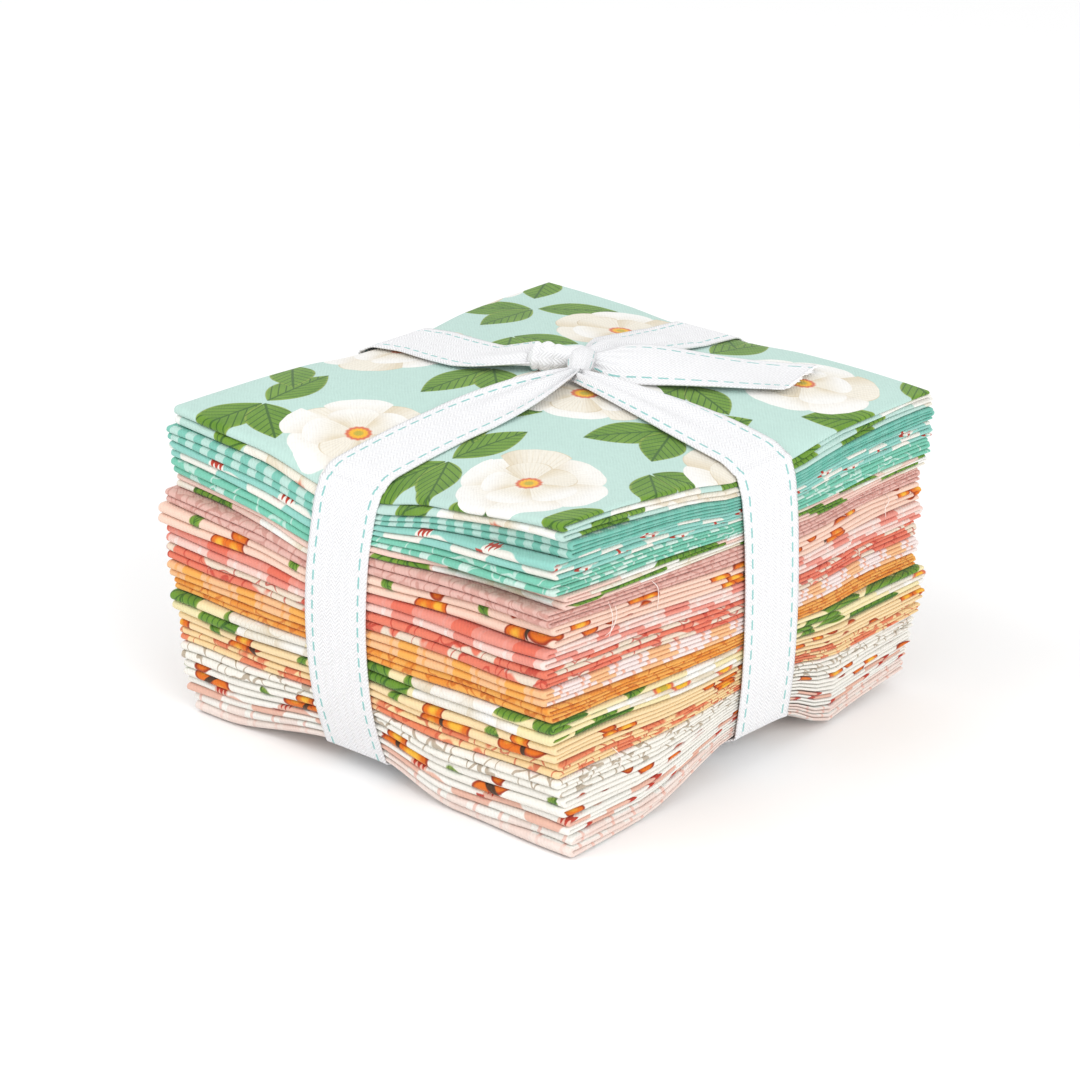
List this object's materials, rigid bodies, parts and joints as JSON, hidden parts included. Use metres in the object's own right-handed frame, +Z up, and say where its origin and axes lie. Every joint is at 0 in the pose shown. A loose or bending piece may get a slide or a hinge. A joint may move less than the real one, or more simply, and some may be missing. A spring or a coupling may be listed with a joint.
{
  "type": "fat quarter bundle",
  "caption": "Stack of folded printed quilting cottons, tied both ways with plain twill ribbon knotted on top, one free end lying to a corner.",
  "frame": {"origin": "middle of the stack's base, where it rests", "axes": "+Z up; the folded rolls face -Y, the ends of the layers face +X"},
  "size_m": [0.1457, 0.158, 0.1049],
  "materials": {
    "fabric_01": "pale aqua cotton with large cream flowers and green leaves",
    "fabric_02": "teal and white gingham cotton",
    "fabric_03": "aqua cotton with small white birds",
    "fabric_04": "sea-green cotton with white lines",
    "fabric_05": "pink cotton with flowers and leaves",
    "fabric_06": "dusty rose cotton with fine darker lines",
    "fabric_07": "peach cotton with orange butterflies",
    "fabric_08": "coral and pale pink plaid cotton",
    "fabric_09": "coral cotton with line flowers",
    "fabric_10": "yellow plaid cotton",
    "fabric_11": "orange tone-on-tone cotton",
    "fabric_12": "pale yellow cotton with leaves and cream flowers",
    "fabric_13": "pale apricot cotton with orange butterflies",
    "fabric_14": "yellow cotton with rust lines",
    "fabric_15": "cream cotton with tan line flowers",
    "fabric_16": "cream cotton with orange butterflies",
    "fabric_17": "cream cotton with rust birds and grey-brown lines",
    "fabric_18": "cream cotton with pale coral plaid lines",
    "ribbon": "white herringbone twill tape with pale teal dashed stitching near both edges"
  },
  "bodies": {
    "root": {"fabric_01": "fabric_01", "fabric_02": "fabric_02", "fabric_03": "fabric_03", "fabric_04": "fabric_04", "fabric_05": "fabric_05", "fabric_06": "fabric_06", "fabric_07": "fabric_07", "fabric_08": "fabric_08", "fabric_09": "fabric_09", "fabric_10": "fabric_10", "fabric_11": "fabric_11", "fabric_12": "fabric_12", "fabric_13": "fabric_13", "fabric_14": "fabric_14", "fabric_15": "fabric_15", "fabric_16": "fabric_16", "fabric_17": "fabric_17", "fabric_18": "fabric_18", "ribbon": "ribbon"}
  },
  "joints": []
}
